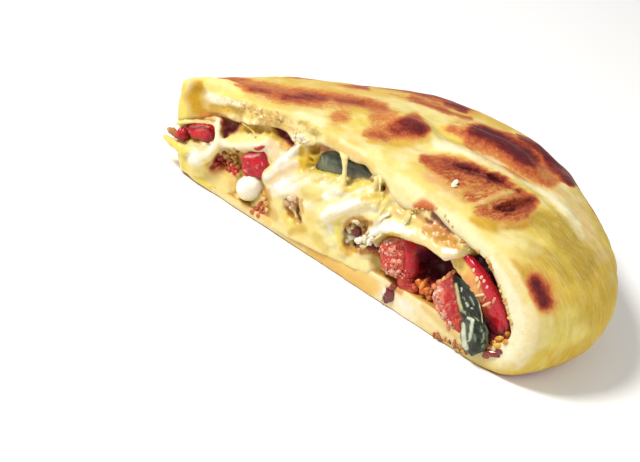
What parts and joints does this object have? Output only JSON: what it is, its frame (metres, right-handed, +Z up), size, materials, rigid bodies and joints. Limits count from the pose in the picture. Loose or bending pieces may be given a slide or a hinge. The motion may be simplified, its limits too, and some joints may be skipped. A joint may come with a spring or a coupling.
{
  "type": "calzone half",
  "caption": "Half of a baked folded pizza, cut across so that its stretched cheese, tomato and basil filling shows in the open face.",
  "frame": {"origin": "middle of the half's bounding box, at base level", "axes": "+X along the straight cut towards the closed fold, +Y away from the cut towards the rounded tip, +Z up"},
  "size_m": [0.1522, 0.1108, 0.0413],
  "materials": {
    "crust": "baked golden dough, dull, with browned blisters and a pale bready cut",
    "cheese": "melted mozzarella, wet and glossy, cream to pale yellow",
    "sauce": "moist tomato ragu, grainy, red to orange",
    "tomato": "wet red tomato and pepper flesh and skin",
    "basil": "wilted dark green leaf with an oily shine"
  },
  "bodies": {
    "root": {"crust": "crust", "cheese": "cheese", "red_filling": "sauce", "tomato_left": "tomato", "tomato_middle": "tomato", "tomato_pulp": "tomato", "sauce_chunk": "sauce", "mozzarella_pearl": "cheese", "pepper_strip": "tomato", "basil_top": "basil", "basil_fold": "basil"}
  },
  "joints": []
}
